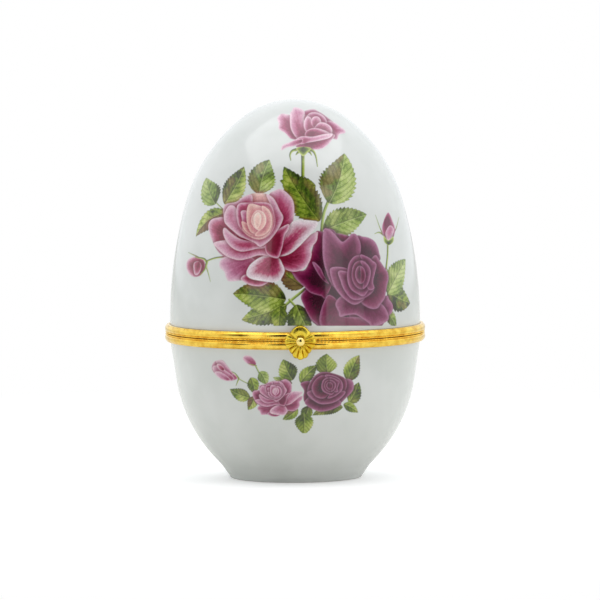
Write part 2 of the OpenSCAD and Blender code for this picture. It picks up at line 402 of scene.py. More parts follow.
# Outer face of a collar, from the seam outwards: (radius, height from the seam)
COLLAR_EDGE = [(36.85, 0.05), (37.1, 0.07)]
COLLAR_BAND = [(37.22, 0.56), (37.24, 0.6), (37.36, 0.65), (37.44, 0.76), (37.49, 0.95),
               (37.5, 1.2), (37.49, 1.45), (37.45, 1.68), (37.38, 1.88), (37.26, 2.04),
               (37.1, 2.14), (37.04, 2.19), (37.07, 2.25), (37.04, 2.34),
               (36.94, 2.42), (36.78, 2.48), (36.55, 2.5)]
COLLAR_INNER = [(LEG_R, 2.5), (LEG_R, FLANGE_T + HALF_GAP), (FLANGE_R + 0.1, FLANGE_T + HALF_GAP),
                (FLANGE_R, FLANGE_T), (FLANGE_R, HALF_GAP + 0.1), (FLANGE_R + 0.1, HALF_GAP)]


def make_collar(name, body, node, side):
    """A ring with a corded edge beside the seam and a polished convex band beyond it."""
    segments = BEADS * BEAD_STEPS
    angle = np.arange(segments) * 2 * math.pi / segments
    bead = np.abs(np.cos(angle * BEADS / 2)) ** 0.7
    rows = [(np.full(segments, r), h) for r, h in COLLAR_EDGE]
    for t in np.linspace(0, 1, BEAD_ROWS):
        swell = math.sin(math.pi * t) ** 0.75
        rows.append((CORD_R + swell * (CORD_SWELL + BEAD_SWELL * bead), CORD_LOW + CORD_H * t))
    rows += [(np.full(segments, r), h) for r, h in COLLAR_BAND + COLLAR_INNER]
    radius = np.stack([r for r, _ in rows])
    height = SEAM_Z + side * np.array([h for _, h in rows])[:, None] + 0 * angle
    points = np.stack([radius * np.cos(angle), radius * np.sin(angle), height], -1)
    faces = grid_faces(len(rows), segments, True)
    if side < 0:
        faces = faces[:, ::-1]
    collar = new_piece(name, points.reshape(-1, 3), faces, body, gilt, sharp=55)
    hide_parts(node)


make_collar("lid_gilt_collar", "lid", "lid_collar", 1)
make_collar("base_gilt_collar", "base", "base_collar", -1)


# ---------------------------------------------------------------- clasp

FLOWER_BACK = 38.3       # distance of the flower's back from the egg's axis
PLATE_T = 0.7
PETALS = 16
PETAL_STEPS, RAY_STEPS = 24, 40          # mesh points round one petal, and outwards
PETAL_R, PETAL_DROP = 4.5, 0.7           # reach of the petals, and what the lowest add to it
CORNER_CUT, SCALLOP = 0.55, 0.3          # how far it falls back at diagonals, between petals
LOBE_FLAT, LOBE_EDGE = 34, 56            # degrees from the top between which the lobe fades
RIM_T, GROOVE = 0.12, 0.62               # thickness at the flower's edge, and depth of its grooves


def make_flower():
    """A cast flower: ribbed petals round the boss and one smooth lobe at the top."""
    around, along = PETALS * PETAL_STEPS, RAY_STEPS
    a = np.arange(around) * 2 * math.pi / around
    drop = np.maximum(0, -np.sin(a)) ** 3
    corners = CORNER_CUT * (0.5 - 0.5 * np.cos(4 * a)) ** 1.5
    petal = np.abs(np.cos(a * PETALS / 2))
    top = smooth(np.sin(a), *(math.cos(math.radians(x)) for x in (LOBE_EDGE, LOBE_FLAT)))
    low = 0.4 + 0.6 * smooth(-np.sin(a), -0.3, 0.4)
    scallop = SCALLOP * (1 - petal**0.7) * (1 - top)
    reach = PETAL_R + PETAL_DROP * drop - scallop - corners
    s = np.linspace(0.0, 1.0, along)[:, None]
    rib = (petal**0.45)[None, :]
    groove_depth = GROOVE * smooth(s, 0.34, 0.7) * low * (1 - top)
    dish = 0.5 + 0.45 * np.sin(math.pi * np.clip(s, 0, 1) ** 0.9) ** 0.8
    lobe = 0.5 + 0.5 * np.sin(math.pi * np.clip((s - 0.3) / 0.74, 0, 1)) ** 0.7
    wall = np.clip((1 - s) / 0.06, 0, 1) ** 0.5
    height = (dish - groove_depth * (1 - rib)) * (1 - top) + lobe * top
    height = RIM_T + height * wall * (1 - 0.12 * (1 - rib) * (1 - top))
    rho = s * reach[None, :]
    front = np.stack([rho * np.cos(a), -(FLOWER_BACK + height), SEAM_Z + rho * np.sin(a)], -1)
    back = front[-1:].copy()
    back[..., 1] = -FLOWER_BACK
    centre_back = np.repeat([[[0, -FLOWER_BACK, SEAM_Z]]], around, 1)
    points = np.concatenate([front, back, centre_back]).reshape(-1, 3)
    faces = grid_faces(along + 2, around)
    flower = new_piece("clasp_flower_gilt", points, faces, "clasp", gilt_cast,
                       sharp=75)
    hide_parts("clasp_flower")


def make_boss():
    """Domed rivet head with a small rolled collar round it."""
    seat = FLOWER_BACK + PLATE_T - 0.1
    dome_r, dome_low, dome_h = 1.32, 0.45, 1.1
    dome = [(dome_r * math.cos(t), dome_low + dome_h * math.sin(t))
            for t in np.radians(np.linspace(0, 90, 16))]
    roll = [(0, -0.6), (1.2, -0.6), (1.5, 0.0), (1.56, 0.14), (1.5, 0.3), (1.36, 0.36)]
    points, faces = lathe(roll + dome, 72, closed=False)
    points = np.stack([points[:, 0], -(seat + points[:, 2]), SEAM_Z + points[:, 1]], -1)
    boss = new_piece("clasp_boss", points, faces, "clasp", gilt_bright)
    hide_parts("clasp_rivet")


make_flower()
make_boss()

for node, material in (
    ("base_hinge_leaf", gilt), ("lid_hinge_leaf", gilt), ("hinge_pin", gilt_satin),
    ("clasp_catch", gilt), ("clasp_pad", gilt), ("clasp_tongue", gilt_satin),
    ("base_cement", plaster), ("lid_cement", plaster),
):
    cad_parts[node].data.materials.clear()
    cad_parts[node].data.materials.append(material)


# ---------------------------------------------------------------- the view from the front

VIEW_AZIMUTH, VIEW_ELEVATION, VIEW_ROLL = -2.2, 4.0, 0.35   # degrees
VIEW_AIM = (1.45, 51.1)  # right of the axis, above the foot
VIEW_SPAN = 173.1        # width seen at the axis
LENS, SENSOR = 380.0, 36.0
CLIP_NEAR, CLIP_FAR = 0.05, 20           # metres


def view_axes():
    """Right, up and backward directions of the view."""
    a, e, roll = (math.radians(x) for x in (VIEW_AZIMUTH, VIEW_ELEVATION, VIEW_ROLL))
    back = np.array([math.sin(a) * math.cos(e), -math.cos(a) * math.cos(e), math.sin(e)])
    level = np.array([math.cos(a), math.sin(a), 0.0])
    up = np.cross(back, level)
    right = level * math.cos(roll) - up * math.sin(roll)
    return right, up * math.cos(roll) + level * math.sin(roll), back


RIGHT, UP, BACK = view_axes()
VIEW_DISTANCE = VIEW_SPAN * LENS / SENSOR
AIM_POINT = RIGHT * VIEW_AIM[0] + np.array([0, 0, VIEW_AIM[1]])
EYE = AIM_POINT + BACK * VIEW_DISTANCE


def make_camera():
    data = bpy.data.cameras.new("camera")
    data.lens, data.sensor_width = LENS, SENSOR
    camera = bpy.data.objects.new("camera", data)
    bpy.context.scene.collection.objects.link(camera)
    m = np.eye(4)
    m[:3, 0], m[:3, 1], m[:3, 2], m[:3, 3] = RIGHT, UP, BACK, EYE * MM
    camera.matrix_world = Matrix(m.tolist())
    data.clip_start, data.clip_end = CLIP_NEAR, CLIP_FAR
    bpy.context.scene.camera = camera


make_camera()


# ---------------------------------------------------------------- painting the transfers
# Places on a print are (a, b): right of the egg's axis and above its foot, seen from the
# front. They are painted on an unrolled cylinder, so that motifs keep their shape round the
# sides.

PITCH = 0.125            # distance between the points of a print
FINE = 2    # paint samples along that distance
UNROLL_R = 37.0          # radius of the cylinder
BRUSH_SIZE, CLOUD_SIZE = 0.45, 2.2       # blots of the noises that mottle the colours
PETAL_CAST, LEAF_CAST = 0.55, 0.35       # darkness of the shadows that they cast
CAST_REACH = 1.6         # how far such a shadow is painted round a petal
SPINE_STEPS, STEM_STEPS = 48, 30         # steps along a leaf, and between a stem's points
# Where the four colours of a palette stand on the scale of a motif's tone
PETAL_STOPS = (0.22, 0.55, 0.82, 1.0)
LEAF_STOPS = (0.1, 0.4, 0.62, 0.95)
STEM_STOPS = (0.0, 0.3, 0.6, 1.0)


def unroll(place):
    """A place (a, b) on the unrolled cylinder."""
    return UNROLL_R * math.asin(place[0] / UNROLL_R), place[1]


def blend(t, colours, stops):
    """Colours at t along the stops."""
    return np.stack([np.interp(t, stops, [c[i] for c in colours]) for i in range(3)], -1)


def curve(points, closed, steps):
    """Smooth curve through points."""
    p = np.asarray(points, float)
    if closed:
        p = np.concatenate([p[-1:], p, p[:2]])
    else:
        p = np.concatenate([2 * p[:1] - p[1:2], p, 2 * p[-1:] - p[-2:-1]])
    t = np.linspace(0, 1, steps, endpoint=False)[:, None]
    parts = []
    for a, b, c, d in zip(p, p[1:], p[2:], p[3:]):
        parts.append(b + 0.5 * t * (c - a + t * (2 * a - 5 * b + 4 * c - d
                                                 + t * (3 * (b - c) + d - a))))
    return np.concatenate(parts if closed else parts + [p[-2:-1]])


def inside_distance(x, y, outline):
    """Distance to a closed outline, positive inside it."""
    nearest = np.full(x.shape, 1e9, np.float32)
    inside = np.zeros(x.shape, bool)
    outline = outline.astype(np.float32)
    for p, q in zip(outline, np.roll(outline, -1, 0)):
        d = q - p
        dx, dy = x - p[0], y - p[1]
        t = np.clip((dx * d[0] + dy * d[1]) / (d @ d + np.float32(1e-9)), 0, 1)
        nearest = np.minimum(nearest, (dx - t * d[0]) ** 2 + (dy - t * d[1]) ** 2)
        crosses = (p[1] > y) != (q[1] > y)
        inside ^= crosses & (dx < dy * (d[0] / (d[1] + np.float32(1e-9))))
    return np.sqrt(nearest) * np.where(inside, 1, -1)


def ripples(x, seed):
    """Irregular lines along x, between about -1 and 1."""
    waves = (7, 13, 23, 37, 61)
    phase = np.random.default_rng(seed).uniform(0, 2 * math.pi, len(waves))
    return sum(np.sin(k * x + p) for k, p in zip(waves, phase)) / len(waves) * 1.8


class Canvas:
    """A sheet that is painted layer by layer: ink, how much it covers, and which motif it is."""

    def __init__(self, low, high):
        step = PITCH / FINE
        (u_0, b_0), (u_1, b_1) = unroll(low), unroll(high)
        self.cols = int((u_1 - u_0) / PITCH)
        self.rows = int((b_1 - b_0) / PITCH)
        self.low = (u_0, b_0)
        self.u = (u_0 + (np.arange(self.cols * FINE) + 0.5) * step).astype(np.float32)
        self.b = (b_0 + (np.arange(self.rows * FINE) + 0.5) * step).astype(np.float32)
        self.ink = np.zeros((len(self.b), len(self.u), 3))
        self.cover = np.zeros((len(self.b), len(self.u)))
        self.motif = np.zeros((len(self.b), len(self.u)), int)
        self.names = ["blank"]
        self.brush = self.noise(BRUSH_SIZE, 1)
        self.cloud = self.noise(CLOUD_SIZE, 2)

    def noise(self, size, seed):
        """Soft noise with blots of a size, mostly between -1 and 1."""
        shape = self.cover.shape
        raw = np.fft.rfft2(np.random.default_rng(seed).normal(size=shape))
        fy = np.fft.fftfreq(shape[0], PITCH / FINE)[:, None]
        fx = np.fft.rfftfreq(shape[1], PITCH / FINE)
        low_pass = np.exp(-((fx**2 + fy**2) * (size * 1.8) ** 2))
        field = np.fft.irfft2(raw * low_pass, shape)
        return field / field.std() * 0.55

    def begin(self, name):
        """What is painted from here on belongs to this motif."""
        self.names.append(name)

    def window(self, points, margin):
        """The part of the sheet round some points, and its coordinates."""
        low, high = np.min(points, 0) - margin, np.max(points, 0) + margin
        cols = slice(*np.searchsorted(self.u, (low[0], high[0])))
        rows = slice(*np.searchsorted(self.b, (low[1], high[1])))
        x, y = np.meshgrid(self.u[cols], self.b[rows])
        return (rows, cols), x, y

    def lay(self, part, colour, alpha):
        """Put a colour on top, as thick as alpha says."""
        before = self.cover[part] * (1 - alpha)
        after = before + alpha
        share = (alpha / np.maximum(after, 1e-6))[..., None]
        self.ink[part] = self.ink[part] * (1 - share) + colour * share
        self.cover[part] = after
        self.motif[part][alpha > 0.5] = len(self.names) - 1

    def shade(self, part, amount, colour):
        """Draw what is painted already towards a colour."""
        amount = amount[..., None]
        self.ink[part] = self.ink[part] * (1 - amount) + np.array(colour) * amount


def palette(codes):
    return [rgb(c) for c in codes.split()]


# Colours from the heart of a petal to its edge
PINK = palette("78082E AE4468 CA8CA8 E4C4D0")
PINK_SOFT = palette("98385E B86C8E D09CB6 E6CAD6")
ROSE_COLOURS = {
    "pink": PINK,
    "soft": PINK_SOFT,
    "pale": PINK[:2] + palette("DCC2CE EAE0E4"),
    "peach": palette("A84660 CA7E86 DEA6A2 EECEC6"),
    "wine": palette("36001A 660438 802450 A86C8E"),
    "mauve": palette("440628 6A1A44 8A3C66 B07496"),
    "deep": palette("6A0A3A 9E3E68 BE7C9C DCB0C6"),
    "top": palette("720E3A A23E68 C884A4 ECCCDA"),
    "heart": palette("D07C88 E2A6A2 ECC4BA F4E2D8"),
}
# Leaves from their darkest to their lightest
GREEN = palette("2C3408 5E7220 92A63C C6CE78")
GREEN_DEEP = palette("242E08 4E6616 7A9026 B0B854")
GREEN_PALE = palette("465022 76903A A2B65C CCD68E")
GREEN_LOW = palette("2E380A 667E1C 92A636 C6CC74")
RUSSET = rgb("74443A")
DEPTH = 1.35             # how far the deep colour runs out from a petal's root


def petal(canvas, outline, root, colours, tone, lip, size=1.0):
    """One petal. Its colour runs from the root to the edge, streaked along the way; tone
    above 1 keeps it deeper. The free edge has a pale lip and casts a shadow."""
    edge = curve([unroll(p) for p in outline], True, 6)
    part, x, y = canvas.window(edge, CAST_REACH)
    inside = inside_distance(x, y, edge)
    u, v = unroll(root)
    away, angle = np.hypot(x - u, y - v), np.arctan2(y - v, x - u)
    streak = ripples(angle, int(abs(outline[0][0] * 37 + outline[0][1] * 11)))
    depth = np.maximum(inside, 0)
    t = away / (away + 1.5 * depth + 0.01)
    loose = 0.09 * streak * smooth(away, 0, 2) + 0.07 * canvas.brush[part]
    t = np.clip(t + (loose + 0.06 * canvas.cloud[part]) * (1.05 - t), 0, 1) ** (tone * DEPTH)
    colour = blend(t, colours, PETAL_STOPS)
    outer = smooth(away / away[inside > 0].max(), 0.45, 0.85)
    worn = 0.75 + 0.35 * canvas.cloud[part]
    rim = 0.35 * np.exp(-((inside / (0.35 * size)) ** 2))
    rim = rim + 0.5 * np.exp(-inside / (1.6 * lip * size))
    lip_line = (rim * outer * worn * (inside > -0.3))[..., None]
    colour = colour * (1 - lip_line) + colours[-1] * lip_line
    colour = colour * (1 + (0.06 * streak + 0.07 * canvas.brush[part]) * (1.1 - t))[..., None]
    outside = np.maximum(-inside, 0)
    cast = PETAL_CAST * np.exp(-((outside / (0.75 * size)) ** 2))
    cast = cast * smooth(away, 0.5 * size, 3 * size)
    canvas.shade(part, cast * (inside < 0.05), colours[0])
    canvas.lay(part, np.clip(colour, 0, 1), smooth(inside, -0.07, 0.07))


def leaf(canvas, base, tip, width, bend, colours, turn, blush, veins):
    """A toothed leaf. One half (turn) is lighter, blush reddens the other half."""
    start, end = np.array(unroll(base)), np.array(unroll(tip))
    along = end - start
    length = np.hypot(*along)
    bow = (start + end) / 2 + np.array([-along[1], along[0]]) * bend
    t = np.linspace(0, 1, SPINE_STEPS)[:, None]
    spine = (1 - t) ** 2 * start + 2 * t * (1 - t) * bow + t**2 * end
    speed = 2 * (1 - t) * (bow - start) + 2 * t * (end - bow)
    part, x, y = canvas.window(spine, width / 2 + 0.8)
    k = ((x[..., None] - spine[:, 0]) ** 2 + (y[..., None] - spine[:, 1]) ** 2).argmin(-1)
    dx, dy = x - spine[k, 0], y - spine[k, 1]
    sx, sy = speed[k, 0], speed[k, 1]
    pace = np.hypot(sx, sy)
    s = t[k, 0] + (dx * sx + dy * sy) / pace**2
    side = (sx * dy - sy * dx) / pace
    s_in = np.clip(s, 0, 1)
    half = width / 2 * np.sin(math.pi * s_in**0.76) ** 0.85
    tooth = (s_in * veins * 1.9 + 0.3 * np.sign(side)) % 1
    half = half * (0.89 + 0.16 * np.minimum(tooth, 6 * (1 - tooth)) * smooth(s_in, 0.05, 0.25))
    inside = np.where((s < 0) | (s > 1), -1.0, half - np.abs(side))
    patch = canvas.cloud[part]
    rows = (s - 0.9 / length * np.abs(side) ** 1.25) * veins + 0.12 * patch + 0.25 * (side > 0)
    gap = np.abs(rows - np.round(rows)) / veins * length
    vein = np.exp(-((gap / 0.14) ** 2)) * smooth(inside, 0, 0.8)
    vein = vein * np.clip(0.75 + 0.5 * canvas.brush[part], 0, 1)
    fine_gap = np.abs(rows * 3 - np.round(rows * 3)) / 3 / veins * length
    hair = np.exp(-((fine_gap / 0.13) ** 2)) * np.clip(0.4 + canvas.brush[part], 0, 1)
    swell = 0.5 - 0.5 * np.cos(2 * math.pi * rows)
    light_half = np.tanh(side * turn / 0.5)
    tone = 0.55 + 0.1 * light_half + 0.12 * (swell - 0.5) + 0.26 * patch
    tone = tone + 0.16 * canvas.brush[part] - 0.22 * hair
    tone = tone + 0.14 * smooth(np.abs(side) / (width / 2), 0.5, 1.0) * light_half
    colour = blend(tone, colours, LEAF_STOPS)
    red = blush * smooth(-light_half + 1.3 * patch, 0.3, 1.3)[..., None]
    colour = colour * (1 - red) + RUSSET * (0.7 + 0.5 * tone[..., None]) * red
    dark_line = np.maximum(0.7 * vein, 0.45 * np.exp(-((inside / 0.16) ** 2)))
    rib = np.exp(-(((side + 0.1 * turn) / (0.1 + 0.12 * (1 - s_in))) ** 2))
    dark_line = np.maximum(dark_line, 0.7 * rib)[..., None]
    colour = colour * (1 - dark_line) + colours[0] * dark_line
    shine = 0.4 * np.exp(-(((side - 0.16 * turn) / 0.13) ** 2))[..., None]
    shine = shine * (s_in < 0.95)[..., None]
    colour = colour * (1 - shine) + colours[-1] * shine
    cast = LEAF_CAST * np.exp(-((np.maximum(-inside, 0) / 0.4) ** 2)) * (inside < 0)
    canvas.shade(part, cast, colours[0])
    canvas.lay(part, np.clip(colour, 0, 1), smooth(inside, -0.06, 0.1))


def leaves(canvas, *rows):
    for row in rows:
        leaf(canvas, *row)


def stem(canvas, path, width, colours=GREEN_PALE, taper=1.0):
    """A stem or sepal along a path; taper is the width at its end over that at its start."""
    line = curve([unroll(p) for p in path], False, STEM_STEPS)
    part, x, y = canvas.window(line, width)
    d2 = (x[..., None] - line[:, 0]) ** 2 + (y[..., None] - line[:, 1]) ** 2
    k = d2.argmin(-1)
    way = np.gradient(line, axis=0)
    way = way / np.hypot(*way.T)[:, None]
    side = way[k, 0] * (y - line[k, 1]) - way[k, 1] * (x - line[k, 0])
    half = width / 2 * (1 + (taper - 1) * k / (len(line) - 1))
    inside = half - np.sqrt(d2.min(-1))
    colour = blend(0.5 + 0.5 * side / half, colours, STEM_STOPS)
    canvas.lay(part, colour, smooth(inside, -0.08, 0.08))


def stems(canvas, width, colours, taper, *paths):
    for path in paths:
        stem(canvas, path, width, colours, taper)


def rose(canvas, petals, heart=(0, 0), to=(0, 0), scale=(1, 1), dye=None):
    """Petals from the back to the front: (outline, root, colour, tone, lip). The rose is
    scaled about its heart and moved to another place. Dye replaces some colours."""

    def placed(place):
        return tuple(t + (p - h) * s for p, h, t, s in zip(place, heart, to, scale))

    for outline, root, kind, tone, lip in petals:
        colours = ROSE_COLOURS[(dye or {}).get(kind, kind)]
        outline = [placed(p) for p in outline]
        petal(canvas, outline, placed(root), colours, tone, lip, sum(scale) / 2)


BIG_ROSE = [
    # ground that closes the gaps between the petals
    ([(-19, 72), (-17, 78), (-12, 80), (-4, 80), (-1.5, 74), (3, 70), (4, 64), (-1, 61), (-6, 58),
      (-13, 58.5), (-18, 61), (-20, 66)], (-8, 66), "pink", 3.0, 0.1),
    # back petals, right and top
    ([(-7.5, 81), (-5.7, 82.7), (-4, 83.1), (-2, 81.7), (-0.6, 79.8), (-0.2, 77), (-0.6, 73.6),
      (-2.2, 71), (-4.5, 70), (-6, 74)], (-5.5, 71.5), "pink", 1.0, 0.3),
    ([(-14, 80), (-12.7, 81.7), (-10.3, 81.9), (-8, 81.6), (-6, 80), (-7, 76), (-13, 76)],
     (-10, 74), "peach", 0.6, 0.3),
    # far left petal with its pale outer edge
    ([(-25, 72.6), (-24.2, 74.2), (-22.5, 74.8), (-20, 74.6), (-17, 70), (-17, 64), (-19.8, 63.4),
      (-22.2, 65), (-23.7, 67.8), (-24.6, 70.2)], (-19, 69.5), "pink", 1.25, 0.9),
    # left upper petal
    ([(-20.7, 77.2), (-19.8, 78.8), (-17, 79.4), (-14.8, 80.9), (-12.6, 81.5), (-12.2, 79),
      (-12.5, 72), (-15, 69), (-18.2, 71.4), (-20.2, 73.6)], (-14, 74), "pink", 1.1, 0.7),
    # lower left petal
    ([(-21.7, 60.6), (-21.6, 62.4), (-20, 63.6), (-16, 64), (-12, 63), (-11, 60), (-13.5, 57.2),
      (-16, 56.7), (-19, 56.5), (-19.9, 57.6), (-20.4, 59.2)], (-11.5, 63), "soft", 1.15, 0.25),
    # curl under the bottom petal
    ([(-15.6, 57.2), (-13.9, 55.8), (-12, 55.2), (-10, 55.1), (-8.7, 55.6), (-7.6, 56.6),
      (-10, 58), (-14, 58.5)], (-11, 58.4), "pink", 1.4, 0.3),
    # lower right petal
    ([(6.2, 70.8), (6.5, 69.4), (6.1, 67.9), (4.6, 66), (4.8, 64.4), (4.3, 62.4), (3.2, 60.8),
      (1.6, 59.7), (-0.4, 59.3), (-2.6, 59.9), (-5, 61.5), (-7.5, 63.2), (-4, 66), (2, 68.6)],
     (-5.2, 62.8), "pink", 1.35, 0.9),
    # right petal, nearly white at its end
    ([(-1.2, 73.2), (0.6, 74.1), (3, 74.2), (5, 74), (6.5, 73.7), (6.3, 72.3), (5, 70.6),
      (3.2, 68.6), (0.8, 66.2), (-1.2, 64.6), (-3.4, 63.8), (-5.4, 64), (-4.4, 68)],
     (-4.3, 65.6), "pale", 0.95, 1.1),
    # bottom petal, nearly white at its end
    ([(-13.8, 59.8), (-13.9, 58.2), (-12.6, 57.2), (-10.3, 56.7), (-8.2, 56.4), (-6.2, 56.2),
      (-4.6, 56.7), (-3.6, 57.9), (-3, 59.6), (-3.6, 61.4), (-5, 63.4), (-9, 63.8),
      (-12.4, 61.8)], (-6.2, 63.4), "pale", 0.9, 0.9),
    # long lip that closes the lower left
    ([(-23.4, 67.6), (-22, 65.6), (-20, 63.9), (-17.6, 62.9), (-15.6, 62.6), (-13, 63.2),
      (-10.6, 64), (-8, 63.8), (-5.2, 63.1), (-4.6, 64.4), (-7, 67), (-13, 68), (-19, 68.4)],
     (-11, 68.5), "pink", 0.95, 0.4),
    # left middle petal
    ([(-20.8, 71.2), (-20.1, 71.9), (-18.4, 70.4), (-15.5, 68.6), (-10, 67.4), (-8.6, 66.2),
      (-11.2, 65.9), (-13.2, 65.4), (-15.4, 65.1), (-17.4, 65.7), (-19.2, 67.2), (-20.4, 69.2)],
     (-12.5, 68.6), "pink", 0.85, 0.4),
    # deep inner wall on the right
    ([(-7.6, 70), (-5, 71.4), (-1.9, 73), (-1.9, 71.4), (-3, 69.8), (-3.4, 67.6), (-3.9, 65.6),
      (-5, 63.3), (-8, 64.4), (-8.6, 67)], (-7, 67.4), "pink", 2.2, 0.3),
    # cup petal, front
    ([(-20.3, 76.2), (-20.4, 73.8), (-19.4, 72.4), (-17.8, 71), (-16, 69.6), (-13.4, 68.4),
      (-11.6, 67.6), (-10.2, 66.5), (-8.8, 67.1), (-7.2, 68.4), (-5.6, 70.4), (-4.2, 72.6),
      (-3.4, 75), (-4.4, 77), (-5.3, 79), (-6.4, 80.6), (-8.3, 81.6), (-7, 78), (-7, 73),
      (-10, 70.4), (-14.5, 71.6), (-16.5, 74.6), (-17, 77.6), (-18.8, 78.4)],
     (-10.6, 73.6), "pink", 0.95, 0.55),
    # shade between cup and heart
    ([(-16.6, 78.4), (-13, 79.2), (-7.6, 79), (-6, 76), (-5.8, 72.6), (-7.6, 69.6), (-10.6, 68.6),
      (-14, 70), (-16.4, 73)], (-10.8, 73.8), "pink", 2.0, 0.15),
    # curls round the heart
    ([(-15.2, 72.6), (-14.6, 70.6), (-12.8, 69.2), (-10.2, 68.6), (-8, 69.6), (-6.7, 71.6),
      (-6.2, 74.2), (-6.8, 76.6), (-8.4, 78.2), (-12, 77)], (-9, 77.4), "peach", 1.7, 0.35),
    ([(-15.6, 76.6), (-14.2, 76.9), (-13, 76), (-13.2, 73.4), (-15, 72.4), (-15.3, 74.6)],
     (-12.6, 73.6), "soft", 0.9, 0.3),
    ([(-15.4, 73.7), (-14.2, 73.4), (-12.4, 72), (-11.8, 69.8), (-13.6, 70.4), (-14.9, 71.8)],
     (-11.6, 72), "peach", 0.9, 0.3),
    # heart
    ([(-13.6, 78.2), (-12.6, 78.9), (-10.6, 78.4), (-8.6, 77.7), (-7.2, 76.6), (-8, 73),
      (-9, 70.4), (-11, 70), (-12.8, 70.8), (-13.7, 72.8), (-14, 75.4)],
     (-9.4, 71), "peach", 0.75, 0.35),
    ([(-9.6, 78.1), (-7.9, 77.5), (-6.8, 75.7), (-6.7, 73), (-7.6, 70.9), (-9.6, 69.6),
      (-11.6, 69.8), (-10.2, 71.6), (-9, 74.4)], (-10.6, 72.6), "peach", 1.0, 0.3),
    ([(-12.3, 75.6), (-10.9, 77), (-9.1, 76.4), (-8.3, 74.6), (-8.7, 72.6), (-10.2, 71.2),
      (-11.7, 72), (-12.6, 73.6)], (-9.6, 71.2), "heart", 0.6, 0.35),
    ([(-11.9, 75.2), (-10.6, 76.4), (-9.7, 75.2), (-10, 73), (-10.9, 71.8), (-11.8, 73)],
     (-10.2, 71.8), "heart", 0.4, 0.25),
]

